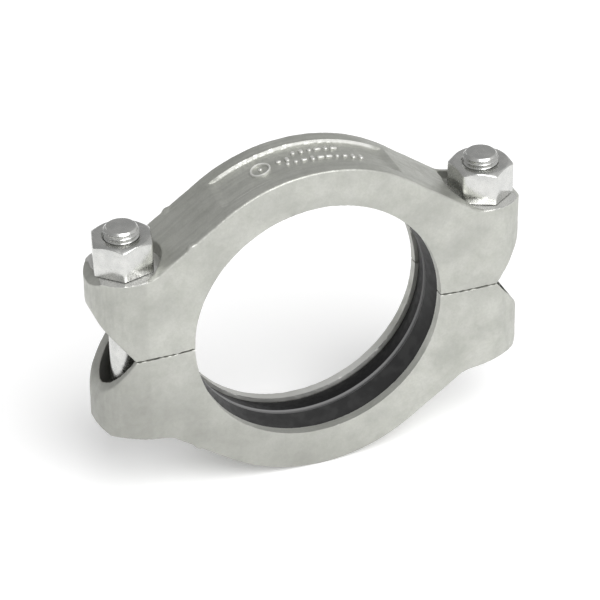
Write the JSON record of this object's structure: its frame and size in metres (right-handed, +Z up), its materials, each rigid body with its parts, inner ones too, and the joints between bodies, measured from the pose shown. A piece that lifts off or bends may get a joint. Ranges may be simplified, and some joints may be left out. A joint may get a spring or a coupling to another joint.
{
  "type": "grooved pipe coupling",
  "caption": "Split pipe coupling: ribless cast halves with bolt lugs close around a C-section gasket and key into grooves at the ends of the pipes it joins.",
  "frame": {"origin": "centre of the bore, on the parting plane and midway between the side faces", "axes": "+Z up along the bolts with the nuts on top, +X from the left bolt to the right bolt, +Y along the pipe axis, away from the front face"},
  "size_m": [0.2874, 0.051, 0.216],
  "materials": {
    "cast_housing": "galvanised casting, satin grey",
    "bright_steel": "bright zinc plated",
    "rubber": "moulded, semi-matt"
  },
  "bodies": {
    "lower_half": {"lower_housing": "cast_housing", "gasket": "rubber", "left_bolt": "bright_steel", "right_bolt": "bright_steel"},
    "upper_half": {"upper_housing": "cast_housing"},
    "left_nut": {"left_nut": "bright_steel"},
    "right_nut": {"right_nut": "bright_steel"}
  },
  "joints": [
    {"name": "upper_half_lift", "type": "slide", "parent": "lower_half", "child": "upper_half", "axis": [0, 0, 1], "range_m": [0, 0.00705]},
    {"name": "left_nut_turn", "type": "hinge", "parent": "upper_half", "child": "left_nut", "pos_m": [-0.119, 0, 0.0664], "axis": [0, 0, 1], "range_deg": [0, 900]},
    {"name": "right_nut_turn", "type": "hinge", "parent": "upper_half", "child": "right_nut", "pos_m": [0.119, 0, 0.0664], "axis": [0, 0, 1], "range_deg": [0, 900]}
  ],
  "couplings": [
    {"joint": "left_nut_turn", "follows": "upper_half_lift", "rad_per_m": 2226.3},
    {"joint": "right_nut_turn", "follows": "upper_half_lift", "rad_per_m": 2226.3}
  ]
}
